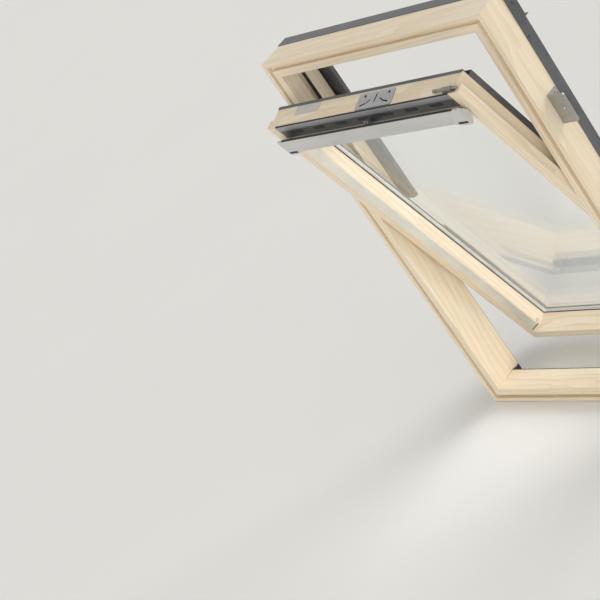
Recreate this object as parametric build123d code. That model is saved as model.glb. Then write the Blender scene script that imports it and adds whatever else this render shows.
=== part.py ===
from build123d import *
import os
from math import cos, hypot, radians, sin

# Centre-pivot roof window in pine: a timber frame, a glazed sash that turns about two friction
# hinges at mid height, and a control bar at the top of the sash that works the vent and the lock.
# X runs across the window, Y out through the roof and Z up the slope. The drawing starts Y at the
# frame's room face and Z at its lower edge. The stored origin is the centre of the four bracket
# holes, on the plane of the battens. The sash is drawn shut and then turned open. Millimetres.

# Frame timber
frame_width = 780
frame_length = 1180
frame_depth = 108
frame_section = 45
jamb_step = 3
jamb_step_depth = 47
groove_width = 12
groove_depth = 12
groove_inset = 12
sill_tread = 29
sill_fall = 0.5
sill_upstand = 1
sill_drop = 29
sill_slope = 4
timber_round = 2

# Sash timber
sash_side_gap = 3
sash_foot_gap = 7
sash_head_gap = 11
sash_face = 31
sash_recess = 16
flange_depth = 24.5
flange_width = 14
stile_width = 44.5
rail_height = 39
bottom_rail_face = 30
top_rail_face = 58
bevel_width = 10.5
bevel_depth = 16
guide_rail_thickness = 2
guide_rail_stop = 8
plug_length = 3

# Glazing
glazing_rebate = 5
gasket_thickness = 2
gasket_show = 1
pane_thickness = 4
cavity = 10
glass_cover = 12
glass_play = 2.5
spacer_width = 12
trim_thickness = 1.5
trim_reach = 29
trim_lip = 2
head_trim_reach = 17

# Sheet covers and cladding
sheet = 1.5
cover_clearance = 2
cover_lip = 12
cover_inset = 6.5
cover_leg = 28
pivot_break = 60
hood_drop = 45
sash_cover_lift = 1.8
sash_cover_leg = 14
sash_cover_lip = 8
sash_cover_gap = 3
sash_cover_step = 4
sash_cover_ramp = 5
nose_length = 24
nose_overlap = 1
nose_start = 4
nose_clearance = 3
cladding_gap = 1

# Pivot hinges
pivot_rise = 4
pivot_pin_radius = 8
running_gap = 0.05
hinge_plate = 3
hinge_boss = 4
boss_step = 1
pin_end_gap = 0.5
hinge_eye = 14
hinge_shoulder = 6.5
hinge_half_height = 45
sash_open_angle = 18
cleaning_angle = 165

# Stop beads and seals
bead_gap = 4
bead_seal_gap = 3.5
bead_recess = 10
gasket_strip = 3
gasket_inset = 1
seal_width = 12
seal_height = 45.5
seal_depth = 15
seal_fall = 4
sill_lip = 8
sill_lip_drop = 4.5
sill_lip_tip = 3
sill_lip_inset = 2

# Vent unit
vent_overlap = 11.5
vent_band = 16
vent_band_proud = 2.5
vent_grille = 28
vent_grille_thickness = 1.5
slot_count = 7
slot_bridge = 40
slot_height = 11
slot_drop = 10
duct_inset = 7.5
duct_depth = 26
duct_height = 16
filter_depth = 16

# Control bar, drawn pulled down
bar_end_gap = 20
bar_height = 47
bar_front = 6
bar_sheet = 2.2
bar_top_return = 6
bar_grip_return = 7
bar_top_drop = 29.5
cap_width = 18
cap_slant = 34
cap_drop = 9.5
cap_round = 2
cap_slot = 4.5
cap_slot_length = 30
cap_slot_inset = 4
cap_slot_rise = 11.5
cap_back_gap = 0.5
cap_shoulder = 8
cap_shoulder_rise = 15
cap_back_rise = 1
cap_back_drop = 10
cap_foot_depth = 8
bar_axis_depth = 22
bar_axis_drop = 58
bar_pin_radius = 2.5
bar_pin_end = 1
bar_seal_thickness = 1.5
bar_seal_inset = 0.5
lug_width = 5
lug_eye = 5.5
lug_base = 8
lug_foot = 2
lug_gap = 2
fork_half_width = 12
fork_ear = 4
fork_gap = 2
fork_base = 1.5
fork_half_height = 10
fork_step = 1
stay_half_width = 13
stay_sheet = 1.5
stay_drop = 33
stay_rib = 3.5
stay_rib_depth = 5
stay_rib_head = 2

# Lock on the head of the sash
lock_centre = 53
lock_half_width = 63
lock_start_gap = 4
lock_end_gap = 12
lock_plate_thickness = 2
lock_round = 4
case_half_width = 53
case_depth = 36
case_height = 16
case_wall = 2
claw_length = 18
claw_thickness = 4
claw_angle = 14
claw_spread = 41
claw_setback = 10.5
claw_height = 13
claw_play = 0.3
claw_sink = 2
hook_length = 20
hook_width = 3
hook_angle = 33
hook_inset = 16
hook_step = 6.5
carriage_thickness = 3
strike_lip_drop = 5
strike_lip_setback = 8.5
strike_lip_thickness = 2
release_slot_length = 24
release_slot_angle = 85
release_slot_shift = 4

# Barrel bolt on the head of the sash
bolt_radius = 3.5
bolt_height = 5
bolt_depth = 42
bolt_inset = 4
bolt_length = 76
bolt_chamfer = 1
knob_radius = 4.2
knob_length = 8
housing_setback = 46
housing_length = 28
housing_foot = 2
housing_tab = 10
housing_half_depth = 8
housing_radius = 5.5
housing_plate = 1.2
bush_radius = 5.5
bush_bore = 3.8
bush_length = 15

# Head trim, plate and clips
head_trim_width = 7.5
head_trim_gap = 1
plate_half_width = 45
plate_from_edge = 138
plate_gap = 0.5
plate_depth = 27
plate_thickness = 0.6
clip_size = 10
clip_depth = 64
small_round = 2

# Mounting brackets
batten_depth = 40
bracket_sheet = 2.5
bracket_wing = 50
bracket_leg = 36
bracket_half_height = 40
bracket_hole_radius = 3.25
bracket_hole_out = 30
bracket_spacing = 580
bracket_round = 7.5

# Places that follow from the sizes above
side_x = frame_width / 2
wall_x = side_x - frame_section
step_x = wall_x + jamb_step
sash_x = wall_x - sash_side_gap
rebate_x = sash_x - flange_width
sight_x = sash_x - stile_width
glass_x = sight_x + glass_cover
glazing_x = glass_x + glass_play
head_z = frame_length - frame_section
sash_foot = frame_section + sash_foot_gap
sash_head = head_z - sash_head_gap
sight_low = sash_foot + rail_height
sight_high = sash_head - rail_height
flange_back = sash_face + flange_depth
sash_back = frame_depth - sash_recess
glazing_seat = sash_back - glazing_rebate
sill_depth = frame_depth - sill_tread
bead_start = flange_back + bead_seal_gap
bead_end = frame_depth - bead_recess
pane_front = glazing_seat + gasket_thickness
outer_pane_front = pane_front + pane_thickness + cavity
glass_back = outer_pane_front + pane_thickness
trim_back = glass_back + trim_thickness
pivot_depth = frame_depth + pivot_rise
pivot_height = frame_length / 2
break_low = pivot_height - pivot_break
break_high = pivot_height + pivot_break
cover_face = frame_depth + cover_clearance
cover_x = sight_x + cover_inset
hood_foot = frame_length - 2 * hood_drop
bar_axis_z = sash_head - bar_axis_drop
bar_top = sash_head - bar_top_drop
grille_top = sash_head - vent_band
sill_z = frame_section - sill_fall - sill_drop
sill_edge = frame_section - sill_fall
vent_half_width = sight_x + vent_overlap
duct_half_width = sight_x - duct_inset
duct_z = grille_top - slot_drop
stay_z = sash_head - stay_drop
slot_pitch = 2 * duct_half_width / slot_count
slot_length = slot_pitch - slot_bridge
bar_half_width = sash_x - cap_width - bar_end_gap
bar_foot = bar_top - bar_height
cap_foot = bar_foot - cap_drop
bolt_rest_end = sash_x - bolt_inset
bolt_start = bolt_rest_end - bolt_length
bolt_z = sash_head + bolt_height
housing_start = bolt_rest_end - housing_setback
lock_low_x = lock_centre - lock_half_width
lock_high_x = lock_centre + lock_half_width
lock_start = sash_face + lock_start_gap
lock_end = sash_back - lock_end_gap
lock_middle = (lock_start + lock_end) / 2
claw_depth = lock_middle - claw_setback
strike_lip_depth = claw_depth - strike_lip_setback
head_trim_start = sash_back + sheet - head_trim_width
plate_centre = plate_from_edge - sash_x
plate_end = head_trim_start - plate_gap
sash_axis = Axis((0, pivot_depth, pivot_height), (1, 0, 0))
stored_origin = Pos(0, -batten_depth, -pivot_height)


def outline(section):
    return make_face(Polyline(*section, close=True)) if isinstance(section, list) else section


def along_x(section, low, high):
    # The section holds (depth, height) points
    plane = Plane((low, 0, 0), x_dir=(0, 1, 0), z_dir=(1, 0, 0))
    return extrude(plane * outline(section), high - low)


def along_y(section, low, high):
    # The section holds (across, height) points
    plane = Plane((0, high, 0), x_dir=(1, 0, 0), z_dir=(0, -1, 0))
    return extrude(plane * outline(section), high - low)


def along_z(section, low, high):
    # The section holds (across, depth) points
    return extrude(Pos(0, 0, low) * outline(section), high - low)


def block(x, y, z):
    return along_z([(x[0], y[0]), (x[1], y[0]), (x[1], y[1]), (x[0], y[1])], z[0], z[1])


def rounded(section, corners, radius):
    face = outline(section)
    picked = [face.vertices().sort_by_distance((*corner, 0))[0] for corner in corners]
    return fillet(picked, radius)


def folded(path, thickness):
    # One face of the sheet follows the path and the other lies to its left
    path = [Vector(*point) for point in path]
    steps = [(after - before).normalized() for before, after in zip(path, path[1:])]
    normals = [Vector(-step.Y, step.X) for step in steps]
    joined = zip(path, normals[:1] + normals, normals + normals[-1:])
    far_side = [point + (m + n) * (thickness / (1 + m.dot(n))) for point, m, n in joined]
    return [(point.X, point.Y) for point in path + far_side[::-1]]


def pin(x_low, x_high, depth, height, radius):
    return along_x(Pos(depth, height) * Circle(radius), x_low, x_high)


def mirrored(shape):
    return mirror(shape, about=Plane.YZ)


def wedge(half_width, edge, direction):
    # The end of a mitred frame, between two 45 degree planes
    reach = 2 * frame_section
    inner = half_width - reach
    far = edge + direction * reach
    section = [(-half_width, edge), (half_width, edge), (inner, far), (-inner, far)]
    return along_y(section, -frame_depth, 2 * frame_depth)


def mitred_ring(section, half_width, low, high):
    # The section holds (distance in from the ring's outer edge, depth) points
    foot = wedge(half_width, low, 1)
    head = wedge(half_width, high, -1)
    side = along_z([(half_width - d, y) for d, y in section], low, high) - foot - head
    foot_bar = along_x([(y, low + d) for d, y in section], -half_width, half_width) & foot
    head_bar = along_x([(y, high - d) for d, y in section], -half_width, half_width) & head
    return Compound([bar.solid() for bar in (side, mirrored(side), foot_bar, head_bar)])


def turned(depth, height, angle):
    # Where a point of the shut sash lies after the sash has turned by the angle
    y = depth - pivot_depth
    z = height - pivot_height
    c, s = cos(radians(angle)), sin(radians(angle))
    return pivot_depth + y * c - z * s, pivot_height + y * s + z * c


# Frame timber
def jamb():
    section = [(wall_x, 0), (side_x, 0), (side_x, frame_depth), (step_x, frame_depth),
               (step_x, jamb_step_depth), (wall_x, jamb_step_depth)]
    post = along_z(rounded(section, [(wall_x, 0)], timber_round), 0, frame_length)
    groove_x = side_x - groove_inset
    groove = block((groove_x - groove_width, groove_x), (0, groove_depth), (0, frame_length))
    return post - groove - wedge(side_x, 0, 1) - wedge(side_x, frame_length, -1)


def bolt_places():
    return [(bolt_depth, bolt_z), turned(bolt_depth, bolt_z, cleaning_angle)]


def right_jamb():
    post = jamb()
    for depth, height in bolt_places():
        post -= pin(wall_x, wall_x + bush_length, depth, height, bush_radius + running_gap)
    return post


def frame_bottom():
    top = frame_section
    section = [(0, 0), (0, top), (sill_depth, sill_edge), (sill_depth, sill_z),
               (frame_depth, sill_z - sill_slope), (frame_depth, 0)]
    member = along_x(rounded(section, [(0, top)], timber_round), -side_x, side_x)
    groove = block((-side_x, side_x), (0, groove_depth), (groove_inset, groove_inset + groove_width))
    return member & wedge(side_x, 0, 1) - groove


def frame_top():
    section = [(0, head_z), (0, frame_length), (frame_depth, frame_length), (frame_depth, head_z)]
    member = along_x(rounded(section, [(0, head_z)], timber_round), -side_x, side_x)
    groove_z = frame_length - groove_inset
    groove = block((-side_x, side_x), (0, groove_depth), (groove_z - groove_width, groove_z))
    return member & wedge(side_x, frame_length, -1) - groove


def stop_bead():
    x_low = rebate_x + bead_gap
    section = [(x_low, bead_start), (step_x, bead_start), (step_x, bead_end), (x_low, bead_end)]
    section = rounded(section, [(x_low, bead_end)], timber_round)
    return along_z(section, break_high, head_z)


def stop_gasket():
    # A strip with a hollow-backed lip, on the room face of the stop bead
    x_low = rebate_x + bead_gap + gasket_inset
    x_high = step_x - 2 * gasket_inset
    lip = bead_start - gasket_inset
    face = bead_start - gasket_strip
    section = [(x_low, bead_start), (x_low, face), (x_low + gasket_strip, face),
               (x_low + 2 * gasket_strip, lip), (x_high, lip), (x_high, bead_start)]
    return along_z(section, break_high, head_z)


# Frame cladding
def upper_cover():
    path = [(cover_x, cover_face + cover_lip), (cover_x, cover_face), (side_x, cover_face),
            (side_x, cover_face - cover_leg - cover_clearance)]
    cover = along_z(folded(path, sheet), break_high, frame_length - cladding_gap)
    lip_top = (cover_face + sheet, cover_face + 2 * cover_lip)
    return cover - block((0, side_x), lip_top, (hood_foot, frame_length))


def side_cladding():
    path = [(step_x + cladding_gap, frame_depth), (side_x, frame_depth),
            (side_x, frame_depth - cover_leg)]
    return along_z(folded(path, sheet), 0, break_high - cladding_gap)


def sill_path():
    return [(sill_depth, sill_edge + sill_upstand), (sill_depth, sill_z),
            (frame_depth, sill_z - sill_slope), (frame_depth, cladding_gap)]


def sill_cladding():
    return along_x(folded(sill_path(), sheet), -step_x, step_x)


def top_hood():
    x_outer = side_x + 2 * sheet
    y_low = frame_depth - cover_leg
    y_high = cover_face + 2 * sheet
    shell = block((-x_outer, x_outer), (y_low, y_high), (hood_foot, frame_length + sheet))
    shell = fillet(shell.edges().filter_by(Axis.Z).group_by(Axis.Y)[-1], sheet)
    inside = block((sheet - x_outer, x_outer - sheet), (0, y_high - sheet), (0, frame_length))
    lip = block((-x_outer, x_outer), (y_high - sheet, cover_face + cover_lip),
                (hood_foot, hood_foot + sheet))
    return shell - inside + lip


# Seals at the sill
def sill_gasket():
    # A lip seal under the foot of the sash
    end = sash_back - sill_lip_inset
    start = end - sill_lip
    low = sash_foot - sill_lip_drop
    section = [(start, sash_foot), (end - sill_lip_tip, low), (end, low), (end, sash_foot)]
    return along_x(section, -rebate_x, rebate_x)


def corner_seal():
    start = sill_depth + sheet
    end = start + seal_depth
    rise = sheet * hypot(frame_depth - sill_depth, sill_slope) / (frame_depth - sill_depth)

    def sheet_top(depth):
        return sill_z + rise - sill_slope * (depth - sill_depth) / (frame_depth - sill_depth)

    section = [(start, sheet_top(start)), (end, sheet_top(end)), (end, seal_height - seal_fall),
               (start, seal_height)]
    return along_x(section, step_x - seal_width, step_x)


# Pivot hinges
def hinge_leaf(x_low):
    tail_start = flange_back + hinge_shoulder
    tail_end = pivot_depth - hinge_eye
    low, high = pivot_height - hinge_half_height, pivot_height + hinge_half_height
    tail = Polyline((tail_start, low), (tail_end, low), (tail_end, high), (tail_start, high),
                    close=True)
    with BuildSketch() as leaf:
        with BuildLine():
            add(tail)
        make_face()
        with Locations((pivot_depth, pivot_height)):
            Circle(hinge_eye)
        make_hull()
    return along_x(leaf.sketch, x_low, x_low + hinge_plate)


def hinge_frame_plate():
    x_low = step_x - hinge_plate
    boss = pin(x_low - hinge_boss, x_low, pivot_depth, pivot_height, hinge_eye - boss_step)
    bore = pin(x_low - hinge_boss, step_x, pivot_depth, pivot_height, pivot_pin_radius + running_gap)
    return hinge_leaf(x_low) + boss - bore


def hinge_sash_plate():
    x_face = rebate_x + hinge_plate
    boss = pin(x_face, x_face + hinge_boss, pivot_depth, pivot_height, hinge_eye - boss_step)
    stub = pin(x_face, step_x - pin_end_gap, pivot_depth, pivot_height, pivot_pin_radius)
    return hinge_leaf(rebate_x) + boss + stub


def mounting_brackets():
    path = [(side_x, batten_depth + bracket_leg), (side_x, batten_depth),
            (side_x + bracket_wing, batten_depth)]
    brackets = []
    for height in (pivot_height - bracket_spacing / 2, pivot_height + bracket_spacing / 2):
        bent = along_z(folded(path, bracket_sheet), height - bracket_half_height,
                       height + bracket_half_height)
        tips = bent.edges().filter_by(Axis.Y).group_by(Axis.X)[-1]
        bent = fillet(tips, bracket_round)
        hole = Pos(side_x + bracket_hole_out, height) * Circle(bracket_hole_radius)
        bent -= along_y(hole, batten_depth, batten_depth + bracket_sheet)
        brackets += [bent.solid(), mirrored(bent).solid()]
    return Compound(brackets)


def bolt_bushes():
    bushes = []
    for depth, height in bolt_places():
        bush = pin(wall_x, wall_x + bush_length, depth, height, bush_radius)
        bush -= pin(wall_x, wall_x + bush_length, depth, height, bush_bore)
        bushes.append(bush.solid())
    return Compound(bushes)


def strike_plate():
    low, high = head_z - sheet, head_z
    plate = block((lock_low_x, lock_high_x), (lock_start, lock_end), (low, high))
    plate = fillet(plate.edges().filter_by(Axis.Z), lock_round)
    for x in (lock_centre - claw_spread, lock_centre + claw_spread):
        plate += block((x - claw_length / 2, x + claw_length / 2),
                       (strike_lip_depth, strike_lip_depth + strike_lip_thickness),
                       (low - strike_lip_drop, low))
    return plate


# Sash timber
def bevel_edges():
    # How far the guide rail's thickness reaches along the room face and the inner face
    slant = hypot(bevel_width, bevel_depth)
    return guide_rail_thickness * slant / bevel_depth, guide_rail_thickness * slant / bevel_width


def stile():
    along_face, along_inside = bevel_edges()
    section = [(sash_x, sash_face), (sight_x + bevel_width + along_face, sash_face),
               (sight_x, sash_face + bevel_depth + along_inside), (sight_x, glazing_seat),
               (glazing_x, glazing_seat), (glazing_x, sash_back), (rebate_x, sash_back),
               (rebate_x, flange_back), (sash_x, flange_back)]
    section = rounded(section, [(sash_x, sash_face), (rebate_x, sash_back)], timber_round)
    return along_z(section, sash_foot, sash_head)


def coped(rail):
    # A rail ends against the moulded inner face of each stile
    return rail - stile() - mirrored(stile()) - guide_blank() - mirrored(guide_blank())


def sash_bottom_rail():
    rebate = sight_low - glass_cover - glass_play
    shoulder = (sash_face, sash_foot + bottom_rail_face)
    section = [(sash_face, sash_foot), shoulder, (glazing_seat, sight_low), (glazing_seat, rebate),
               (sash_back, rebate), (sash_back, sash_foot)]
    section = rounded(section, [(sash_face, sash_foot), shoulder], timber_round)
    return coped(along_x(section, -glazing_x, glazing_x)).solid()


def sash_top_rail():
    rebate = sight_high + glass_cover + glass_play
    foot = (sash_face, sash_head - top_rail_face)
    section = [foot, (sash_face, sash_head), (sash_back, sash_head), (sash_back, rebate),
               (glazing_seat, rebate), (glazing_seat, sight_high)]
    rail = coped(along_x(rounded(section, [foot], timber_round), -glazing_x, glazing_x))
    rail -= block((-duct_half_width, duct_half_width), (sash_face, sash_face + duct_depth),
                  (duct_z - duct_height / 2, duct_z + duct_height / 2))
    return (rail - case_blank()).solid()


# Glazing
def pane(front):
    return block((-glass_x, glass_x), (front, front + pane_thickness),
                 (sight_low - glass_cover, sight_high + glass_cover))


def spacer_bar():
    # One bar bent round between the panes
    front = pane_front + pane_thickness
    edge = glass_cover - spacer_width
    ring = block((-glass_x, glass_x), (front, front + cavity),
                 (sight_low - glass_cover, sight_high + glass_cover))
    opening = block((-sight_x - edge, sight_x + edge), (front, front + cavity),
                    (sight_low - edge, sight_high + edge))
    return ring - opening


def glazing_gasket():
    width = glass_cover + gasket_show
    section = [(0, glazing_seat), (width, glazing_seat), (width - gasket_show, pane_front),
               (0, pane_front)]
    return mitred_ring(section, glass_x, sight_low - glass_cover, sight_high + glass_cover)


def glazing_trim():
    # Mitred at the foot; at the head a narrower bar lies between the side bars
    section = folded([(trim_thickness, sash_back), (trim_thickness, glass_back),
                      (trim_reach + trim_lip, glass_back)], trim_thickness)
    half_width, inside = sight_x + trim_reach, sight_x - trim_lip
    low, high = sight_low - trim_reach, sight_high + head_trim_reach
    foot = wedge(half_width, low, 1)
    side = along_z([(half_width - d, y) for d, y in section], low, high) - foot
    foot_bar = along_x([(y, low + d) for d, y in section], -half_width, half_width) & foot
    head_path = [(trim_back, sight_high - trim_lip), (trim_back, high), (sash_back, high)]
    head_bar = along_x(folded(head_path, trim_thickness), -inside, inside)
    return Compound([bar.solid() for bar in (side, mirrored(side), foot_bar, head_bar)])


# Guide rails for a blind along the stiles
def guide_section():
    along_face, along_inside = bevel_edges()
    return [(sight_x + bevel_width, sash_face), (sight_x + bevel_width + along_face, sash_face),
            (sight_x, sash_face + bevel_depth + along_inside), (sight_x, sash_face + bevel_depth)]


def guide_blank():
    return along_z(guide_section(), guide_low() - plug_length, guide_high() + plug_length)


def guide_low():
    return sight_low + guide_rail_stop


def guide_high():
    return sash_head - top_rail_face - guide_rail_stop / 2


def guide_rail():
    return along_z(guide_section(), guide_low(), guide_high())


def rail_end_plugs():
    foot = along_z(guide_section(), guide_low() - plug_length, guide_low())
    head = along_z(guide_section(), guide_high(), guide_high() + plug_length)
    return Compound([plug.solid() for plug in (foot, head, mirrored(foot), mirrored(head))])


def stile_clips():
    clip = block((sight_x - sheet, sight_x), (clip_depth - clip_size, clip_depth),
                 (guide_low(), guide_low() + clip_size))
    clip = fillet(clip.edges().filter_by(Axis.X), small_round)
    return Compound([clip.solid(), mirrored(clip).solid()])


# Covers that ride on the sash
def lower_cover():
    x_low = cover_x - sash_cover_step
    x_outer = side_x + 2 * sheet
    ramp_end = wall_x - sash_cover_ramp
    raised = trim_back + sash_cover_lift
    path = [(x_low, trim_back + sash_cover_lip), (x_low, trim_back),
            (ramp_end - sash_cover_step, trim_back), (ramp_end, raised), (x_outer, raised),
            (x_outer, raised - sash_cover_leg)]
    return along_z(folded(path, sheet), frame_section + nose_overlap, break_low)


def bottom_cover():
    raised = trim_back + sash_cover_gap
    x_outer = side_x + 3 * sheet
    path = [(trim_back, sight_low + nose_overlap), (trim_back, sash_foot + nose_start),
            (raised, frame_section + nose_clearance), (raised, frame_section - nose_length)]
    cover = along_x(folded(path, sheet), -x_outer, x_outer)
    beside = block((cover_x - sash_cover_ramp, x_outer), (0, 2 * frame_depth),
                   (frame_section, frame_length))
    return cover - beside - mirrored(beside)


def head_trim():
    drop = sight_high + head_trim_reach + head_trim_gap
    path = [(head_trim_start, sash_head), (sash_back, sash_head), (sash_back, drop)]
    return along_x(folded(path, sheet), -rebate_x, rebate_x)


def data_plate():
    plate = block((plate_centre - plate_half_width, plate_centre + plate_half_width),
                  (plate_end - plate_depth, plate_end), (sash_head, sash_head + plate_thickness))
    return fillet(plate.edges().filter_by(Axis.Z), small_round)


# Vent unit on the room face of the top rail
def vent_housing():
    face = sash_face - vent_band_proud
    grille_face = sash_face - vent_grille_thickness
    section = [(sash_face, grille_top - vent_grille), (grille_face, grille_top - vent_grille),
               (grille_face, grille_top), (face, grille_top), (face, sash_head), (sash_face, sash_head)]
    section = rounded(section, [(face, grille_top), (face, sash_head)], vent_grille_thickness / 2)
    housing = along_x(section, -vent_half_width, vent_half_width)
    for index in range(slot_count):
        x = (index - (slot_count - 1) / 2) * slot_pitch
        slot = Pos(x, duct_z) * SlotOverall(slot_length, slot_height)
        housing -= along_y(slot, grille_face, sash_face)
    return housing


def vent_filter():
    return block((-duct_half_width, duct_half_width), (sash_face, sash_face + filter_depth),
                 (duct_z - duct_height / 2, duct_z + duct_height / 2))


def hinge_lug(x_low, x_high):
    base_z = sash_head - top_rail_face + timber_round + lug_base / 2
    with BuildSketch() as lug:
        with Locations((sash_face - lug_foot / 2, base_z)):
            Rectangle(lug_foot, lug_base)
        with Locations((bar_axis_depth, bar_axis_z)):
            Circle(lug_eye)
        make_hull()
    bore = pin(x_low, x_high, bar_axis_depth, bar_axis_z, bar_pin_radius + running_gap)
    return (along_x(lug.sketch, x_low, x_high) - bore).solid()


def bar_brackets():
    end = bar_half_width - lug_gap
    half = fork_half_width - fork_ear - fork_gap
    right = hinge_lug(end - lug_width, end)
    return Compound([right, mirrored(right), centre_stay(half)])


def centre_stay(half):
    # The middle lug stands on a plate with two ribs, in front of the grille
    grille_face = sash_face - vent_grille_thickness
    front = grille_face - stay_sheet
    low = sash_head - top_rail_face + timber_round
    stay = hinge_lug(-half, half)
    stay += block((-stay_half_width, stay_half_width), (front, grille_face), (low, stay_z))
    for x in (-half, half - stay_rib):
        rib = [(front, bar_axis_z), (front - stay_rib_depth, bar_axis_z + lug_eye),
               (front - stay_rib_depth, stay_z - 2 * stay_rib_head), (front, stay_z - stay_rib_head)]
        stay += along_x(rib, x, x + stay_rib)
    return stay.solid()


# Control bar
def control_bar():
    path = [(bar_front + bar_top_return, bar_top), (bar_front, bar_top), (bar_front, bar_foot),
            (bar_front + bar_grip_return, bar_foot)]
    section = rounded(folded(path, bar_sheet), path[1:3], bar_sheet / 2)
    bar = along_x(section, -bar_half_width, bar_half_width)
    corner = along_y(cap_corner(bar_foot), 0, frame_depth)
    return bar - corner - mirrored(corner)


def cap_corner(foot):
    # The cap's lower corner runs in under the end of the bar
    return [(bar_half_width - cap_slant, bar_foot), (bar_half_width, foot), (bar_half_width, bar_top)]


def bar_seal():
    # A rubber strip along the bar's upper edge
    low, high = bar_front + bar_seal_inset, bar_front + bar_top_return
    section = [(low, bar_top), (high, bar_top), (high, bar_top + bar_seal_thickness),
               (low + bar_seal_inset, bar_top + bar_seal_thickness)]
    return along_x(section, -bar_half_width, bar_half_width)


def bar_end_cap():
    back = bar_axis_depth + lug_eye + cap_back_gap
    section = [(bar_front, cap_foot), (bar_front, bar_top), (bar_front + bar_top_return, bar_top),
               (back - cap_shoulder, bar_axis_z + cap_shoulder_rise), (back, bar_axis_z + cap_back_rise),
               (back, bar_axis_z - cap_back_drop), (bar_front + cap_foot_depth, cap_foot)]
    section = rounded(section, section[:2], cap_round)
    end = bar_half_width + cap_width
    cap = along_x(section, bar_half_width, end)
    cap = fillet(cap.faces().sort_by(Axis.X)[-1].edges(), cap_round / 2)
    cap += along_y(cap_corner(cap_foot), bar_front, bar_front + bar_sheet)
    slot_centre = (end - cap_slot_inset - cap_slot_length / 2, cap_foot + cap_slot_rise)
    slot = Pos(*slot_centre) * SlotOverall(cap_slot_length, cap_slot)
    cap -= along_y(slot, bar_front, bar_front + cap_slot)
    stub_start = bar_half_width - lug_gap - lug_width - bar_pin_end
    return cap + pin(stub_start, bar_half_width, bar_axis_depth, bar_axis_z, bar_pin_radius)


def bar_fork():
    inside = bar_front + bar_sheet
    base = block((-fork_half_width, fork_half_width), (inside, inside + fork_base),
                 (bar_axis_z - fork_half_height, bar_axis_z + fork_half_height))
    with BuildSketch() as ear:
        with Locations((inside + fork_base, bar_axis_z)):
            Rectangle(2 * fork_base, 2 * (fork_half_height - fork_step))
        with Locations((bar_axis_depth, bar_axis_z)):
            Circle(lug_eye - fork_step)
        make_hull()
    fork = base + along_x(ear.sketch, fork_half_width - fork_ear, fork_half_width)
    fork += along_x(ear.sketch, -fork_half_width, fork_ear - fork_half_width)
    fork -= block((-fork_half_width, fork_half_width), (0, inside), (0, frame_length))
    return fork + pin(-fork_half_width, fork_half_width, bar_axis_depth, bar_axis_z, bar_pin_radius)


# Lock
def slot_pair(spread, depth, angle, length, width):
    # Plan of two slots, one each side of the lock's centre
    slot = SlotOverall(length, width)
    left = Pos(lock_centre - spread, depth) * Rot(0, 0, angle) * slot
    right = Pos(lock_centre + spread, depth) * Rot(0, 0, -angle) * slot
    return left + right


def claw_slots(play):
    return slot_pair(claw_spread, claw_depth, claw_angle,
                     claw_length - 2 * play, claw_thickness - 2 * play)


def lock_plate():
    top = sash_head + lock_plate_thickness
    plate = block((lock_low_x, lock_high_x), (lock_start, lock_end), (sash_head, top))
    plate = fillet(plate.edges().filter_by(Axis.Z), lock_round)
    plate -= along_z(claw_slots(0), sash_head, top)
    hooks = slot_pair(claw_spread - hook_inset, claw_depth + hook_step, hook_angle,
                      hook_length, hook_width)
    plate -= along_z(hooks, sash_head, top)
    release = Rot(0, 0, release_slot_angle) * SlotOverall(release_slot_length, claw_thickness)
    middle = lock_middle + release_slot_shift
    return plate - along_z(Pos(lock_centre, middle) * release, sash_head, top)


def case_blank():
    return block((lock_centre - case_half_width, lock_centre + case_half_width),
                 (lock_middle - case_depth / 2, lock_middle + case_depth / 2),
                 (sash_head - case_height, sash_head))


def lock_case():
    inner_x = case_half_width - case_wall
    inner_y = case_depth / 2 - case_wall
    hollow = block((lock_centre - inner_x, lock_centre + inner_x),
                   (lock_middle - inner_y, lock_middle + inner_y),
                   (sash_head - case_height + case_wall, sash_head))
    return case_blank() - hollow


def lock_claws():
    top = sash_head + lock_plate_thickness - claw_sink
    low = top - claw_height
    claws = along_z(claw_slots(claw_play), low, top)
    reach = claw_spread + claw_length / 4
    carriage = block((lock_centre - reach, lock_centre + reach),
                     (claw_depth - claw_thickness, claw_depth + claw_thickness),
                     (low, low + carriage_thickness))
    return claws + carriage


# Barrel bolt
def bolt_housing():
    end = housing_start + housing_length
    top = sash_head + housing_plate
    plate = block((housing_start - housing_foot, end + housing_tab),
                  (bolt_depth - housing_half_depth, bolt_depth + housing_half_depth), (sash_head, top))
    plate = fillet(plate.edges().filter_by(Axis.Z), small_round)
    barrel = pin(housing_start, end, bolt_depth, bolt_z, housing_radius)
    cheeks = block((housing_start, end), (bolt_depth - housing_radius, bolt_depth + housing_radius),
                   (top, bolt_z))
    below = block((housing_start, end), (0, frame_depth), (0, top))
    bore = pin(housing_start, end, bolt_depth, bolt_z, bolt_radius + running_gap)
    return plate + (barrel - below + cheeks) - bore


def barrel_bolt():
    rod = pin(bolt_start, bolt_rest_end, bolt_depth, bolt_z, bolt_radius)
    rod = chamfer(rod.edges().sort_by(Axis.X)[-1], bolt_chamfer)
    return rod + pin(bolt_start, bolt_start + knob_length, bolt_depth, bolt_z, knob_radius)


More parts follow.
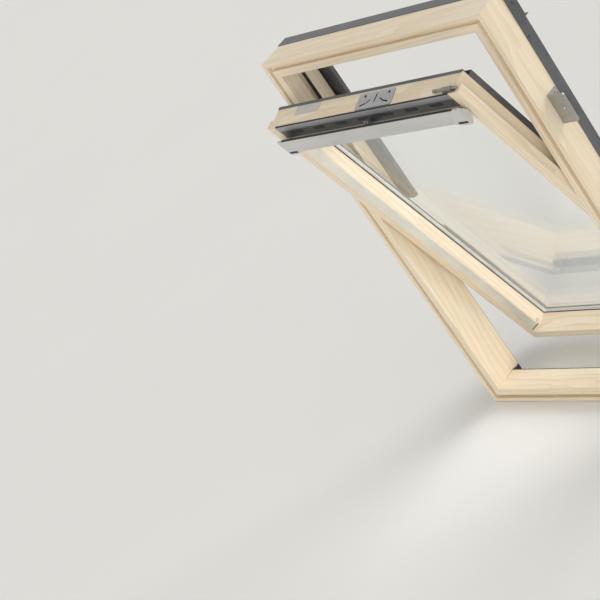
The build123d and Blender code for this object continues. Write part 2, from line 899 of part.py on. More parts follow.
def frame_pieces():
    post, right = jamb(), right_jamb()
    bead, gasket = stop_bead(), stop_gasket()
    cover, side = upper_cover(), side_cladding()
    plate, seal = hinge_frame_plate(), corner_seal()
    return {
        "jamb_left": mirrored(post), "jamb_right": right,
        "frame_bottom": frame_bottom(), "frame_top": frame_top(),
        "stop_bead_left": mirrored(bead), "stop_bead_right": bead,
        "stop_gasket_left": mirrored(gasket), "stop_gasket_right": gasket,
        "upper_cover_left": mirrored(cover), "upper_cover_right": cover,
        "side_cladding_left": mirrored(side), "side_cladding_right": side,
        "sill_cladding": sill_cladding(), "top_hood": top_hood(),
        "corner_seals": Compound([mirrored(seal).solid(), seal.solid()]),
        "hinge_frame_plate_left": mirrored(plate), "hinge_frame_plate_right": plate,
        "mounting_brackets": mounting_brackets(), "bolt_bushes": bolt_bushes(),
        "strike_plate": strike_plate(),
    }


def sash_pieces():
    post, rail = stile(), guide_rail()
    cover, plate = lower_cover(), hinge_sash_plate()
    cap = bar_end_cap()
    return {
        "stile_left": mirrored(post), "stile_right": post,
        "sash_bottom_rail": sash_bottom_rail(), "sash_top_rail": sash_top_rail(),
        "inner_pane": pane(pane_front), "outer_pane": pane(outer_pane_front),
        "spacer_bar": spacer_bar(), "glazing_gasket": glazing_gasket(), "glazing_trim": glazing_trim(),
        "guide_rail_left": mirrored(rail), "guide_rail_right": rail,
        "rail_end_plugs": rail_end_plugs(), "stile_clips": stile_clips(),
        "lower_cover_left": mirrored(cover), "lower_cover_right": cover,
        "sill_gasket": sill_gasket(), "bottom_cover": bottom_cover(),
        "head_trim": head_trim(), "data_plate": data_plate(),
        "hinge_sash_plate_left": mirrored(plate), "hinge_sash_plate_right": plate,
        "vent_housing": vent_housing(), "vent_filter": vent_filter(), "bar_brackets": bar_brackets(),
        "control_bar": control_bar(), "bar_end_cap_left": mirrored(cap), "bar_end_cap_right": cap,
        "bar_fork": bar_fork(), "bar_seal": bar_seal(),
        "lock_plate": lock_plate(), "lock_case": lock_case(),
        "lock_claws": lock_claws(), "bolt_housing": bolt_housing(), "barrel_bolt": barrel_bolt(),
    }


def save(name, shape):
    export_step(stored_origin * shape, f"parts/{name}.step")


os.makedirs("parts", exist_ok=True)
for name, piece in frame_pieces().items():
    save(name, piece)
for name, piece in sash_pieces().items():
    save(name, piece.rotate(sash_axis, sash_open_angle))
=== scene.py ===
import math
import bmesh
import bpy
from mathutils import Matrix, Vector


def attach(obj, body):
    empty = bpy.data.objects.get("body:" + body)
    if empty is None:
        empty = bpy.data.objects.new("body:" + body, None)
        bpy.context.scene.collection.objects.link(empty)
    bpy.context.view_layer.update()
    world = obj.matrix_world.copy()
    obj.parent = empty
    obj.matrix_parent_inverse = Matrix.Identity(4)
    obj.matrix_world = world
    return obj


# Dresses the roof window with materials, fasteners and soft strips, then sets up studio and camera
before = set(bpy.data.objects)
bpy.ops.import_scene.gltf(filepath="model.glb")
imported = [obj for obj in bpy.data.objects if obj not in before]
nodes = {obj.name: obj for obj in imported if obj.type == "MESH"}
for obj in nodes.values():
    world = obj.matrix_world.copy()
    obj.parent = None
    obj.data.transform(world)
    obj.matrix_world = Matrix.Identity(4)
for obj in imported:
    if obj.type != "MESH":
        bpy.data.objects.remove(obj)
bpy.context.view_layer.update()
print("frame loaded:", len(nodes), "nodes")

# Drawing places are in mm: x across, depth outward from the room face, height from the lower edge
drawing = {
    "battenDepth": 40, "pivotDepth": 112, "pivotHeight": 590, "openAngle": 18,
}
shutTurn = -drawing["openAngle"]  # brings the axes of the open sash back to those of the frame


def place(x, depth, height, onSash=False):
    # A drawing point as a stored point in metres
    y, z = depth - drawing["pivotDepth"], height - drawing["pivotHeight"]
    if onSash:
        turn = math.radians(drawing["openAngle"])
        y, z = y * math.cos(turn) - z * math.sin(turn), y * math.sin(turn) + z * math.cos(turn)
    return Vector((x, y + drawing["pivotDepth"] - drawing["battenDepth"], z)) / 1000


def heading(x, depth, height, onSash=False):
    return (place(x, depth, height, onSash) - place(0, 0, 0, onSash)).normalized()


def linear(code):
    parts = [int(code[i:i + 2], 16) / 255 for i in (1, 3, 5)]
    return [c / 12.92 if c <= 0.04045 else ((c + 0.055) / 1.055) ** 2.4 for c in parts] + [1]


def setInputs(tree, node, inputs):
    # A socket is linked, anything else is set as a constant
    for name, value in inputs.items():
        if isinstance(value, bpy.types.NodeSocket):
            tree.links.new(value, node.inputs[name])
        else:
            node.inputs[name].default_value = value


def addNode(tree, kind, inputs=None, **settings):
    node = tree.nodes.new(kind)
    for name, value in settings.items():
        setattr(node, name, value)
    setInputs(tree, node, inputs or {})
    return node


def newMaterial(name, finish, turn=(0, 0, 0), shift=(0, 0, 0)):
    # The finish holds the constants of the shader's own sockets
    material = bpy.data.materials.new(name)
    material.use_nodes = True
    tree = material.node_tree
    tree.nodes.clear()
    coords = addNode(tree, "ShaderNodeTexCoord").outputs["Object"]
    placed = addNode(tree, "ShaderNodeMapping", {
        "Vector": coords, "Rotation": [math.radians(a) for a in turn],
        "Location": [v / 1000 for v in shift]}).outputs["Vector"]
    shader = addNode(tree, "ShaderNodeBsdfPrincipled", finish)
    addNode(tree, "ShaderNodeOutputMaterial", {"Surface": shader.outputs["BSDF"]})
    return material, tree, placed, shader


noiseSpan = (0.3, 0.7)  # where the values of a noise mostly lie


def stretched(tree, vector, sizes):
    # Turns metres into pattern cells of the given sizes in mm
    return addNode(tree, "ShaderNodeMapping", {
        "Vector": vector, "Scale": [1000 / s for s in sizes]}).outputs["Vector"]


def noise(tree, vector, sizes, detail=2.0):
    return addNode(tree, "ShaderNodeTexNoise", {
        "Vector": stretched(tree, vector, sizes), "Scale": 1.0, "Detail": detail})


def spread(tree, value, source=(0, 1), target=(0, 1), **settings):
    # Carries a value from one range to another
    return addNode(tree, "ShaderNodeMapRange", {
        "Value": value, "From Min": source[0], "From Max": source[1],
        "To Min": target[0], "To Max": target[1]}, **settings).outputs["Result"]


def mixed(tree, factor, first, second):
    # Each end is a colour code or a socket
    ends = [linear(end) if isinstance(end, str) else end for end in (first, second)]
    return addNode(tree, "ShaderNodeMix", {
        0: factor, 6: ends[0], 7: ends[1]}, data_type="RGBA").outputs[2]


def summed(tree, value, share, base):
    # The base plus a share of the value
    return addNode(tree, "ShaderNodeMath", {
        0: value, 1: share, 2: base}, operation="MULTIPLY_ADD").outputs[0]


def bumped(tree, height, settings):
    return addNode(tree, "ShaderNodeBump", {
        "Height": height, "Strength": settings["bump"],
        "Distance": settings["bumpHeight"] / 1000}).outputs["Normal"]


# Clear-lacquered pine, planed and finger-jointed: soft wide figure, long fibres, blocks of slightly
# different tone along each piece, and a satin film that evens out the sheen
pine = {
    "early": "#efe2ca", "late": "#d6bd99", "warm": "#e6d1b1",
    "ringSpacing": 13, "heart": (70, 95), "waver": (55, 70, 420), "waverDepth": 14,
    "fibre": (1.6, 1.6, 90), "block": 380, "stave": 31, "finger": 2.2, "fingerDepth": 9,
    "staveSlide": 7.3, "boardShift": (0.11, 0.09, 0), "heartTilt": (0.035, 0.02, 0),
    "lateFrom": 0.3, "lateShare": 0.42, "warmShare": 0.5, "streak": (0.93, 1.04),
    "roughness": (0.46, 0.6), "relief": 0.6, "bump": 0.12, "bumpHeight": 0.2,
    "coat": 0.12, "coatRoughness": 0.3,
}
waveScale = 314  # a wave texture at scale 1 has one ring in 314 mm


def lacqueredPine(name, turn, shift):
    material, tree, placed, shader = newMaterial(name, {
        "Coat Weight": pine["coat"], "Coat Roughness": pine["coatRoughness"]}, turn, shift)
    waver = noise(tree, placed, pine["waver"])
    drift = addNode(tree, "ShaderNodeVectorMath", {
        0: waver.outputs["Color"], 1: (0.5, 0.5, 0.5)}, operation="SUBTRACT")  # swings about zero
    bent = addNode(tree, "ShaderNodeVectorMath", {
        0: drift.outputs[0], 1: [2 * pine["waverDepth"] / 1000] * 3, 2: placed},
        operation="MULTIPLY_ADD")
    # The staves of one piece come from different boards, so each has its own heart and tone
    axes = addNode(tree, "ShaderNodeSeparateXYZ", {"Vector": placed})
    stave = addNode(tree, "ShaderNodeMath", {
        0: axes.outputs["Y"], 1: pine["stave"] / 1000}, operation="SNAP").outputs[0]
    zigzag = addNode(tree, "ShaderNodeMath", {
        0: axes.outputs["X"], 1: pine["finger"] / 1000}, operation="PINGPONG").outputs[0]
    reach = summed(tree, zigzag, pine["fingerDepth"] / pine["finger"], axes.outputs["Z"])
    slid = summed(tree, stave, pine["staveSlide"], reach)
    along = addNode(tree, "ShaderNodeMath", {
        0: slid, 1: pine["block"] / 1000}, operation="SNAP").outputs[0]
    cell = addNode(tree, "ShaderNodeCombineXYZ", {"X": stave, "Y": along})
    block = addNode(tree, "ShaderNodeTexWhiteNoise", {"Vector": cell.outputs[0]})
    own = addNode(tree, "ShaderNodeVectorMath", {
        0: block.outputs["Color"], 1: pine["boardShift"], 2: bent.outputs[0]},
        operation="MULTIPLY_ADD")
    heart = addNode(tree, "ShaderNodeMapping", {
        "Vector": own.outputs[0], "Location": [*(v / 1000 for v in pine["heart"]), 0],
        "Rotation": pine["heartTilt"]})
    rings = addNode(tree, "ShaderNodeTexWave", {
        "Vector": heart.outputs["Vector"], "Scale": waveScale / pine["ringSpacing"]},
        wave_type="RINGS", rings_direction="Z", wave_profile="SAW")
    late = spread(tree, rings.outputs["Fac"], (pine["lateFrom"], 1), (0, pine["lateShare"]),
                  interpolation_type="SMOOTHSTEP")
    fibre = noise(tree, placed, pine["fibre"], 3.0).outputs["Fac"]
    wood = mixed(tree, late, pine["early"], pine["late"])
    tone = spread(tree, block.outputs["Value"], target=(0, pine["warmShare"]))
    toned = mixed(tree, tone, wood, pine["warm"])
    streak = spread(tree, fibre, noiseSpan, pine["streak"])
    colour = addNode(tree, "ShaderNodeVectorMath", {0: toned, "Scale": streak}, operation="SCALE")
    relief = summed(tree, late, pine["relief"], fibre)
    setInputs(tree, shader, {
        "Base Color": colour.outputs[0],
        "Roughness": spread(tree, fibre, target=pine["roughness"]),
        "Normal": bumped(tree, relief, pine)})
    return material


grained = {
    # node: turn that brings the grain to Z, shift in mm so that no two pieces match
    "jamb_left": ((0, 0, 0), (0, 0, 0)), "jamb_right": ((0, 0, 0), (41, 13, 300)),
    "frame_bottom": ((0, -90, 0), (-120, 20, 0)), "frame_top": ((0, -90, 0), (60, 40, 700)),
    "stop_bead_left": ((0, 0, 0), (90, 60, 1300)), "stop_bead_right": ((0, 0, 0), (20, 80, 2100)),
    "stile_left": ((shutTurn, 0, 0), (35, 24, 900)), "stile_right": ((shutTurn, 0, 0), (75, 54, 1500)),
    "sash_bottom_rail": ((shutTurn, -90, 0), (15, 31, 2600)),
    "sash_top_rail": ((shutTurn, -90, 0), (66, 12, 3200)),
}

# Extruded aluminium, satin anodised: fine drawing lines along the profile stretch its highlights
anodised = {
    "base": "#dededc", "dark": "#cbcbc9", "line": (140, 0.9, 0.9), "cloud": (180, 60, 60),
    "lineShare": 0.6, "wear": (0.55, 1.05), "roughness": (0.34, 0.46), "bump": 0.08, "bumpHeight": 0.1,
}
rail = {
    **anodised, "base": "#faf7ec", "dark": "#ece9df", "line": (0.9, 0.9, 140), "roughness": (0.42, 0.55),
}
spacer = {
    **anodised, "base": "#ecedeb", "dark": "#dcdddb", "line": (3, 3, 3), "roughness": (0.5, 0.62),
}
plate = {**anodised, "base": "#c4c2bd", "dark": "#b4b2ad", "line": (60, 1.2, 60)}
lock = {**anodised, "base": "#bdbdbf", "dark": "#a9a9ac", "line": (30, 1.5, 30)}


def anodisedAluminium(name, settings, turn=(0, 0, 0)):
    material, tree, placed, shader = newMaterial(name, {"Metallic": 1.0}, turn)
    lines = noise(tree, placed, settings["line"], 3.0).outputs["Fac"]
    cloud = noise(tree, placed, settings["cloud"]).outputs["Fac"]
    worn = spread(tree, summed(tree, lines, settings["lineShare"], cloud), settings["wear"])
    setInputs(tree, shader, {
        "Base Color": mixed(tree, worn, settings["base"], settings["dark"]),
        "Roughness": spread(tree, lines, noiseSpan, settings["roughness"]),
        "Normal": bumped(tree, lines, settings)})
    return material


# Vent housing: a satin band above a recessed grille; the grille's darker grey is painted shade for its
# recess
vent = {
    **anodised, "base": "#b8b9bd", "dark": "#a5a6ab", "grille": "#7e7f82",
    "bandFoot": 1108, "edge": 0.5,
}


def ventAluminium(name, settings):
    material = anodisedAluminium(name, settings, (shutTurn, 0, 0))
    tree = material.node_tree
    shader = next(node for node in tree.nodes if node.type == "BSDF_PRINCIPLED")
    metal = shader.inputs["Base Color"].links[0].from_socket
    coords = next(node for node in tree.nodes if node.type == "MAPPING").outputs["Vector"]
    rise = addNode(tree, "ShaderNodeSeparateXYZ", {"Vector": coords}).outputs["Z"]
    foot = place(0, 0, settings["bandFoot"], True).dot(heading(0, 0, 1, True))
    edge = settings["edge"] / 1000
    above = spread(tree, rise, (foot - edge, foot + edge))
    # below the band's foot the colour is painted shade over the recessed grille
    setInputs(tree, shader, {"Base Color": mixed(tree, above, settings["grille"], metal)})
    return material


# Moulded ABS and polyamide: a spark-eroded mould leaves a fine even grain that softens the light
moulded = {
    "base": "#cac8c4", "cast": "#c1bfbb", "grain": 0.8, "flow": (40, 40, 25), "index": 1.53,
    "roughness": (0.42, 0.55), "bump": 0.2, "bumpHeight": 0.1,
}
mouldedDark = {**moulded, "base": "#1c1d1f", "cast": "#26272a", "roughness": (0.45, 0.6)}


def mouldedPlastic(name, settings):
    material, tree, placed, shader = newMaterial(name, {"IOR": settings["index"]})
    grain = noise(tree, placed, [settings["grain"]] * 3).outputs["Fac"]
    flow = noise(tree, placed, settings["flow"], 1.0).outputs["Fac"]
    setInputs(tree, shader, {
        "Base Color": mixed(tree, flow, settings["base"], settings["cast"]),
        "Roughness": spread(tree, grain, noiseSpan, settings["roughness"]),
        "Normal": bumped(tree, grain, settings)})
    return material


# Extruded EPDM rubber: near black and matt, greyed unevenly by bloom and handling
rubber = {
    "base": "#232427", "bloom": "#3b3c3f", "patch": (70, 18, 18), "bloomSpan": (0.4, 0.75),
    "grit": 1.2, "index": 1.5, "roughness": (0.6, 0.82), "bump": 0.25, "bumpHeight": 0.1,
}


def epdmRubber(name, settings):
    material, tree, placed, shader = newMaterial(name, {"IOR": settings["index"]})
    patch = noise(tree, placed, settings["patch"], 4.0).outputs["Fac"]
    grit = noise(tree, placed, [settings["grit"]] * 3).outputs["Fac"]
    bloom = spread(tree, patch, settings["bloomSpan"])
    setInputs(tree, shader, {
        "Base Color": mixed(tree, bloom, settings["base"], settings["bloom"]),
        "Roughness": spread(tree, patch, target=settings["roughness"]),
        "Normal": bumped(tree, grit, settings)})
    return material


# Coil-coated aluminium sheet: dark grey paint with a slight orange peel and a film of roof dust
painted = {
    "base": "#4b4e51", "dust": "#66676a", "peel": 1.6, "cloud": (90, 90, 140), "dustSpan": (0.45, 0.8),
    "index": 1.5, "coat": 0.1, "roughness": (0.36, 0.52), "bump": 0.12, "bumpHeight": 0.1,
}


def coatedSheet(name, settings):
    material, tree, placed, shader = newMaterial(name, {
        "IOR": settings["index"], "Coat Weight": settings["coat"]})
    cloud = noise(tree, placed, settings["cloud"], 5.0).outputs["Fac"]
    peel = noise(tree, placed, [settings["peel"]] * 3, 1.0).outputs["Fac"]
    dust = spread(tree, cloud, settings["dustSpan"])
    setInputs(tree, shader, {
        "Base Color": mixed(tree, dust, settings["base"], settings["dust"]),
        "Roughness": spread(tree, cloud, noiseSpan, settings["roughness"]),
        "Normal": bumped(tree, peel, settings)})
    return material


# Zinc-plated and clear-passivated steel: a cool grey with faint crystal patches and soft gloss
zinc = {
    "base": "#c3c4c2", "patch": "#a9abab", "crystal": 5.0, "crystalShare": 0.4, "cloud": (16, 16, 16),
    "roughness": (0.3, 0.46),
}
dullZinc = {**zinc, "base": "#a9a49c", "patch": "#918c85", "roughness": (0.42, 0.58)}
blackZinc = {**zinc, "base": "#2b2b2c", "patch": "#1d1d1e", "roughness": (0.4, 0.55)}


def zincPlatedSteel(name, settings):
    material, tree, placed, shader = newMaterial(name, {"Metallic": 1.0})
    crystal = addNode(tree, "ShaderNodeTexVoronoi", {
        "Vector": stretched(tree, placed, [settings["crystal"]] * 3), "Scale": 1.0})
    cloud = noise(tree, placed, settings["cloud"], 4.0).outputs["Fac"]
    level = summed(tree, crystal.outputs["Color"], settings["crystalShare"], cloud)
    setInputs(tree, shader, {
        "Base Color": mixed(tree, level, settings["base"], settings["patch"]),
        "Roughness": spread(tree, cloud, noiseSpan, settings["roughness"])})
    return material


# Open-cell polyether filter foam with cells of about two millimetres; the darker cell centres are
# painted shade in the open pores
foam = {
    "base": "#2a2b2d", "poreShade": "#0d0e0f", "cell": 2.4, "roughness": 0.95, "fuzz": 0.15,
    "bump": 0.8, "bumpHeight": 1,
}


def filterFoam(name, settings):
    material, tree, placed, shader = newMaterial(name, {
        "Roughness": settings["roughness"], "Sheen Weight": settings["fuzz"]})
    cells = addNode(tree, "ShaderNodeTexVoronoi", {
        "Vector": stretched(tree, placed, [settings["cell"]] * 3), "Scale": 1.0}).outputs["Distance"]
    setInputs(tree, shader, {
        # the cell centres take the painted shade of the pores
        "Base Color": mixed(tree, cells, settings["poreShade"], settings["base"]),
        "Normal": bumped(tree, cells, settings)})
    return material


# Float glass: clear with the faintest green, wiped clean but for a light haze
glazing = {
    "base": "#fefffe", "haze": (120, 120, 160), "hazeSpan": (0.45, 0.75), "index": 1.52,
    "roughness": (0.0, 0.012),
}


def floatGlass(name, settings):
    material, tree, placed, shader = newMaterial(name, {
        "Base Color": linear(settings["base"]), "Transmission Weight": 1.0, "IOR": settings["index"]})
    haze = noise(tree, placed, settings["haze"], 4.0).outputs["Fac"]
    setInputs(tree, shader, {
        "Roughness": spread(tree, haze, settings["hazeSpan"], settings["roughness"])})
    return material


finishes = {
    "metal": anodisedAluminium("satinAnodisedAluminium", anodised),
    "railMetal": anodisedAluminium("brightAnodisedRail", rail, (shutTurn, 0, 0)),
    "spacerMetal": anodisedAluminium("mattMillAluminium", spacer, (shutTurn, 0, 0)),
    "plateMetal": anodisedAluminium("brushedPlateAluminium", plate, (shutTurn, 0, 0)),
    "lockMetal": anodisedAluminium("satinLockAluminium", lock, (shutTurn, 0, 0)),
    "ventMetal": ventAluminium("ventAluminiumPaintedShade", vent),
    "lightPlastic": mouldedPlastic("mouldedLightGreyAbs", moulded),
    "darkPlastic": mouldedPlastic("mouldedBlackPolyamide", mouldedDark),
    "rubber": epdmRubber("extrudedEpdmRubber", rubber),
    "sheet": coatedSheet("coilCoatedAluminium", painted),
    "zinc": zincPlatedSteel("zincPlatedSteel", zinc),
    "dullZinc": zincPlatedSteel("passivatedZincSteel", dullZinc),
    "blackZinc": zincPlatedSteel("blackZincSteel", blackZinc),
    "foam": filterFoam("openCellFilterFoam", foam),
    "glass": floatGlass("clearFloatGlass", glazing),
}
finishOf = {
    "metal": ("control_bar",),
    "lockMetal": ("lock_plate",),
    "spacerMetal": ("spacer_bar",),
    "plateMetal": ("data_plate",),
    "railMetal": ("guide_rail_left", "guide_rail_right"),
    "ventMetal": ("vent_housing",),
    "lightPlastic": ("bar_end_cap_left", "bar_end_cap_right", "stile_clips"),
    "darkPlastic": ("rail_end_plugs", "bolt_bushes"),
    "rubber": ("bar_seal", "stop_gasket_left", "stop_gasket_right", "sill_gasket", "corner_seals",
               "glazing_gasket"),
    "sheet": ("upper_cover_left", "upper_cover_right", "side_cladding_left", "side_cladding_right",
              "sill_cladding", "top_hood", "lower_cover_left", "lower_cover_right", "bottom_cover",
              "glazing_trim", "head_trim"),
    "zinc": ("hinge_frame_plate_left", "hinge_frame_plate_right", "hinge_sash_plate_left",
             "hinge_sash_plate_right", "mounting_brackets", "strike_plate", "bar_brackets", "bar_fork"),
    "blackZinc": ("lock_case", "lock_claws"),
    "dullZinc": ("bolt_housing", "barrel_bolt"),
    "foam": ("vent_filter",),
    "glass": ("inner_pane", "outer_pane"),
}


def dress(name, material):
    mesh = nodes[name].data
    mesh.materials.clear()
    mesh.materials.append(material)


for finish, names in finishOf.items():
    for name in names:
        dress(name, finishes[finish])
for name, (turn, shift) in grained.items():
    dress(name, lacqueredPine("lacqueredPine." + name, turn, shift))
for name in finishOf["glass"]:
    nodes[name].visible_shadow = False  # clear glass lets the light through
print("materials done")


# Screws have heads with a cross recess, nails and rivets plain domed ones. The dome and the recess are
# shares of a head's height and width, the seam is in metres and the smoothing angle in degrees
screw = {
    "sides": 20, "dome": 0.35, "domeSteps": 3, "seam": 0.000002, "smoothAngle": 40,
    "recessDepth": 0.55, "recessWidth": 0.22, "recessReach": 0.62,
}
inLine = 0.9  # cosine above which a direction counts as along an axis


def selectNone():
    if bpy.context.mode != "OBJECT":
        bpy.ops.object.mode_set(mode="OBJECT")
    bpy.ops.object.select_all(action="DESELECT")


def modelHead(radius, height, crossed=True):
    # One head at the origin, standing on z = 0
    selectNone()
    bpy.ops.mesh.primitive_cylinder_add(
        vertices=screw["sides"], radius=radius, depth=height, location=(0, 0, height / 2))
    head = bpy.context.object
    bpy.ops.object.transform_apply(location=True)
    bpy.ops.object.mode_set(mode="EDIT")
    bpy.ops.mesh.select_all(action="DESELECT")
    mesh = bmesh.from_edit_mesh(head.data)
    for face in mesh.faces:
        face.select_set(face.normal.z > inLine)
    bmesh.update_edit_mesh(head.data)
    bpy.ops.mesh.bevel(offset=height * screw["dome"], segments=screw["domeSteps"], affect="EDGES")
    bpy.ops.mesh.select_all(action="SELECT")
    bpy.ops.mesh.remove_doubles(threshold=screw["seam"])  # the bevel leaves a seam of doubled points
    bpy.ops.object.mode_set(mode="OBJECT")
    for turn in (0, 90) if crossed else ():
        size = (radius * 2 * screw["recessReach"], radius * 2 * screw["recessWidth"], height)
        bpy.ops.mesh.primitive_cube_add(
            size=1, scale=size, rotation=(0, 0, math.radians(turn)),
            location=(0, 0, height * (1.5 - screw["recessDepth"])))
        blade = bpy.context.object  # its lower face is the floor of the recess
        selectNone()
        head.select_set(True)
        bpy.context.view_layer.objects.active = head
        cut = head.modifiers.new("recess", "BOOLEAN")
        cut.object, cut.operation, cut.solver = blade, "DIFFERENCE", "EXACT"
        bpy.ops.object.modifier_apply(modifier=cut.name)
        bpy.data.objects.remove(blade)
    bpy.ops.object.shade_smooth_by_angle(angle=math.radians(screw["smoothAngle"]))
    return head


def fitHeads(name, settings, pattern):
    # Copies of one head at every spot, joined to one piece; facing is turned round at the left side
    onSash = settings["body"] != "frame"
    copies = []
    for x in settings["x"]:
        for depth in settings["depth"]:
            for height in settings["height"]:
                side, out, up = settings["facing"]
                direction = heading(math.copysign(side, side * x), out, up, onSash)
                copy = pattern.copy()
                copy.data = pattern.data.copy()
                bpy.context.collection.objects.link(copy)
                turn = direction.to_track_quat("Z", "Y").to_matrix().to_4x4()
                copy.matrix_world = Matrix.Translation(place(x, depth, height, onSash)) @ turn
                copies.append(copy)
    selectNone()
    for copy in copies:
        copy.select_set(True)
    bpy.context.view_layer.objects.active = copies[0]
    bpy.ops.object.join()
    bpy.ops.object.transform_apply(location=True, rotation=True, scale=True)
    piece = bpy.context.object
    piece.name = piece.data.name = name
    piece.data.materials.clear()
    finish = settings.get("finish", "zinc")
    piece.data.materials.append(finishes[finish])
    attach(piece, settings["body"])
    print("fitted:", name, len(copies))


heads = {
    # Radius and height in metres
    "pan": modelHead(0.0034, 0.0016), "flush": modelHead(0.0034, 0.0006),
    "small": modelHead(0.0017, 0.0007), "coach": modelHead(0.005, 0.0024),
    "nail": modelHead(0.0017, 0.0007, crossed=False),
}
fasteners = {
    # Drawing places in mm; facing is (across, outward, up) for a piece on the right. Heads are bright
    # zinc unless a finish is given: those in the covers are coated like the sheet
    # the lock plate's black heads are painted shade for the recesses they sit in
    "lockPlateScrews": {"body": "sash", "head": "flush", "finish": "blackZinc", "facing": (0, 0, 1),
                        "x": (13, 97), "depth": (71,), "height": (1126,)},
    "strikePlateScrews": {"body": "frame", "head": "flush", "facing": (0, 0, -1),
                          "x": (13, 97), "depth": (71,), "height": (1133.5,)},
    "boltHousingScrews": {"body": "sash", "head": "small", "facing": (0, 0, 1),
                          "x": (325,), "depth": (36.1, 47.9), "height": (1125.2,)},
    "dataPlateRivets": {"body": "sash", "head": "nail", "facing": (0, 0, 1),
                        "x": (-244, -164), "depth": (72,), "height": (1124.6,)},
    "stayScrews": {"body": "sash", "head": "small", "facing": (0, -1, 0),
                   "x": (-9.5, 9.5), "depth": (28,), "height": (1072, 1086)},
    "frameHingeScrews": {"body": "frame", "head": "flush", "facing": (-1, 0, 0),
                         "x": (-345, 345), "depth": (70, 90), "height": (555, 625)},
    "sashHingeScrews": {"body": "sash", "head": "flush", "facing": (1, 0, 0),
                        "x": (-331, 331), "depth": (70, 84), "height": (555, 625)},
    "bracketScrews": {"body": "frame", "head": "coach", "facing": (1, 0, 0),
                      "x": (-392.5, 392.5), "depth": (54, 67), "height": (274, 326, 854, 906)},
    "upperCoverScrews": {"body": "frame", "head": "pan", "finish": "sheet", "facing": (1, 0, 0),
                         "x": (-391.5, 391.5), "depth": (90,), "height": (690, 870, 1050)},
    "sideCladdingNails": {"body": "frame", "head": "nail", "finish": "sheet", "facing": (1, 0, 0),
                          "x": (-391.5, 391.5), "depth": (90,), "height": (50, 230, 410, 590)},
    "hoodSideScrews": {"body": "frame", "head": "pan", "finish": "sheet", "facing": (1, 0, 0),
                       "x": (-393, 393), "depth": (96,), "height": (1135,)},
    "hoodFaceScrews": {"body": "frame", "head": "pan", "finish": "sheet", "facing": (0, 1, 0),
                       "x": (-260, 0, 260), "depth": (113,), "height": (1150,)},
    "sillCladdingNails": {"body": "frame", "head": "nail", "finish": "sheet", "facing": (0, 1, 0),
                          "x": (-270, -90, 90, 270), "depth": (109.5,), "height": (6,)},
    "glazingTrimScrews": {"body": "sash", "head": "flush", "finish": "sheet", "facing": (0, 1, 0),
                          "x": (-317, 317), "depth": (108.5,), "height": (570, 735, 900, 1065)},
    "lowerCoverScrews": {"body": "sash", "head": "flush", "finish": "sheet", "facing": (0, 1, 0),
                         "x": (-308, 308), "depth": (110,), "height": (140, 310, 480)},
    "bottomCoverScrews": {"body": "sash", "head": "flush", "finish": "sheet", "facing": (0, 1, 0),
                          "x": (-240, -80, 80, 240), "depth": (110,), "height": (74,)},
    "headTrimScrews": {"body": "sash", "head": "small", "finish": "sheet", "facing": (0, 1, 0),
                       "x": (-240, 0, 240), "depth": (93.5,), "height": (1114,)},
}
for name, settings in fasteners.items():
    fitHeads(name, settings, heads[settings["head"]])
for head in heads.values():
    bpy.data.objects.remove(head)
print("fasteners done")


# Strips and pads of dark rubber: one along the vent's upper edge, which also paints the shade in the
# seam between rail and vent, and one in each slot of the bar's caps, painted shade for the slot's hollow
softStrips = {
    # Drawing boxes in mm on the shut sash: centre and size as (across, outward, up)
    # the vent's upper strip also paints the shade in the seam between rail and vent
    "ventTopSealShade": {"body": "sash", "round": 0.6, "roundAlong": "x", "boxes": [
        ((0, 31.2, 1124.7), (616, 4.6, 1.4))]},
    # the cap pads and their thin front sheet are painted shade for the slots' hollows
    "capSlotShadePads": {"body": "control_bar", "round": 1.9, "roundAlong": "y", "boxes": [
        ((side * 303, depth, 1049.5), size) for side in (-1, 1)
        for depth, size in ((5.7, (30.5, 0.6, 6.6)), (8, (29.6, 4.0, 4.1)))]},
}
roundSteps = 4  # facets across each rounded edge


def modelStrip(name, settings):
    # Each box is rounded along the edges that run the way its settings say
    parts = []
    for centre, size in settings["boxes"]:
        selectNone()
        bpy.ops.mesh.primitive_cube_add(size=1, scale=[v / 1000 for v in size])
        part = bpy.context.object
        bpy.ops.object.transform_apply(scale=True)
        bpy.ops.object.mode_set(mode="EDIT")
        mesh = bmesh.from_edit_mesh(part.data)
        axis = "xyz".index(settings["roundAlong"])
        for edge in mesh.edges:
            along = (edge.verts[0].co - edge.verts[1].co).normalized()
            edge.select_set(abs(along[axis]) > inLine)
        bmesh.update_edit_mesh(part.data)
        bpy.ops.mesh.bevel(offset=settings["round"] / 1000, segments=roundSteps, affect="EDGES")
        bpy.ops.object.mode_set(mode="OBJECT")
        part.location = place(*centre, True)
        part.rotation_euler = (math.radians(drawing["openAngle"]), 0, 0)
        parts.append(part)
    selectNone()
    for part in parts:
        part.select_set(True)
    bpy.context.view_layer.objects.active = parts[0]
    if len(parts) > 1:
        bpy.ops.object.join()
    bpy.ops.object.transform_apply(location=True, rotation=True, scale=True)
    bpy.ops.object.shade_smooth_by_angle(angle=math.radians(screw["smoothAngle"]))
    piece = bpy.context.object
    piece.name = piece.data.name = name
    piece.data.materials.append(finishes["rubber"])
    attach(piece, settings["body"])


for name, settings in softStrips.items():
    modelStrip(name, settings)
print("strips done")

# Studio: pale floor, soft lamps, and a pale surround for what looks past the floor
studio = {
    "floorColour": "#f3f2ef", "floorCloud": "#f0efec", "cloudSize": 900, "floorRoughness": 0.9,
    "floorDrop": 592, "floorSize": 60,
    "surround": "#e8e7e4", "fill": 0.7,
    "lamps": [
        # side it shines from, width of its disc in degrees, strength in watts per square metre
        ("roomLamp", (3.0, -4.0, 0.5), 36, 1.3),
        ("daylightLamp", (2.2, 4.3, 2.6), 40, 1.32),
    ],
}


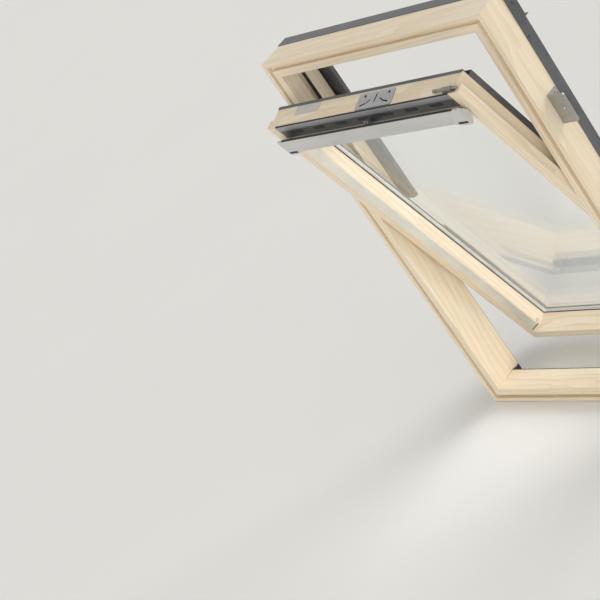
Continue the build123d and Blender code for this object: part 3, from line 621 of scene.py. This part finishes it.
def plainFloor():
    # Pale matt paint with a faint cloud in it, so that the floor isn't one flat tone
    material, tree, placed, shader = newMaterial("palePaintedFloor", {
        "Roughness": studio["floorRoughness"]})
    cloud = noise(tree, placed, [studio["cloudSize"]] * 3).outputs["Fac"]
    setInputs(tree, shader, {
        "Base Color": mixed(tree, cloud, studio["floorColour"], studio["floorCloud"])})
    selectNone()
    bpy.ops.mesh.primitive_plane_add(
        size=studio["floorSize"], location=(0, 0, -studio["floorDrop"] / 1000))
    floor = bpy.context.object
    floor.name = "studioFloor"
    floor.data.materials.append(material)


def softLamp(name, spot, disc, strength):
    # Far away and wide, so that the floor is lit evenly and no shadow has a hard edge
    lamp = bpy.data.lights.new(name, "SUN")
    lamp.angle, lamp.energy = math.radians(disc), strength
    holder = bpy.data.objects.new(name, lamp)
    bpy.context.collection.objects.link(holder)
    holder.location = spot
    holder.visible_transmission = False  # the panes show the room, not the lamp
    holder.rotation_euler = (-Vector(spot)).to_track_quat("-Z", "Y").to_euler()


def surround():
    # At full strength where it is seen, mirrored or seen through glass, and at the fill as light
    world = bpy.data.worlds.new("studioSurround")
    bpy.context.scene.world = world
    world.use_nodes = True
    tree = world.node_tree
    tree.nodes.clear()
    path = addNode(tree, "ShaderNodeLightPath")
    glossy = addNode(tree, "ShaderNodeMath", {
        0: path.outputs["Is Camera Ray"], 1: path.outputs["Is Glossy Ray"]}, operation="MAXIMUM")
    seen = addNode(tree, "ShaderNodeMath", {
        0: glossy.outputs[0], 1: path.outputs["Is Transmission Ray"]}, operation="MAXIMUM")
    light = addNode(tree, "ShaderNodeBackground", {
        "Color": linear(studio["surround"]),
        "Strength": spread(tree, seen.outputs[0], target=(studio["fill"], 1))})
    addNode(tree, "ShaderNodeOutputWorld", {"Surface": light.outputs[0]})


plainFloor()
for lamp in studio["lamps"]:
    softLamp(*lamp)
surround()

# The photograph's viewing angle
view = {
    "place": (3.2200, -2.6195, 1.9227), "forward": (-0.77966, 0.44649, -0.43907),
    "up": (0, 0.70116, 0.71301), "sensor": 36, "nearest": 0.05, "farthest": 200,
    # Focal length, width of the picture and height of its axis from the top, in the picture's pixels
    "focal": 1810, "imageWidth": 600, "axisDown": 407.1,
}


def placeCamera():
    camera = bpy.data.cameras.new("viewCamera")
    camera.sensor_width = view["sensor"]
    camera.lens = view["sensor"] * view["focal"] / view["imageWidth"]
    camera.shift_y = (view["axisDown"] - view["imageWidth"] / 2) / view["imageWidth"]
    camera.clip_start, camera.clip_end = view["nearest"], view["farthest"]
    holder = bpy.data.objects.new("viewCamera", camera)
    bpy.context.collection.objects.link(holder)
    forward, above = Vector(view["forward"]), Vector(view["up"])
    across = forward.cross(above).normalized()
    above = across.cross(forward)
    turn = Matrix((across, above, -forward)).transposed().to_4x4()
    holder.matrix_world = Matrix.Translation(view["place"]) @ turn
    bpy.context.scene.camera = holder


placeCamera()
bpy.context.scene.view_settings.view_transform = "Standard"
print("studio and camera done")
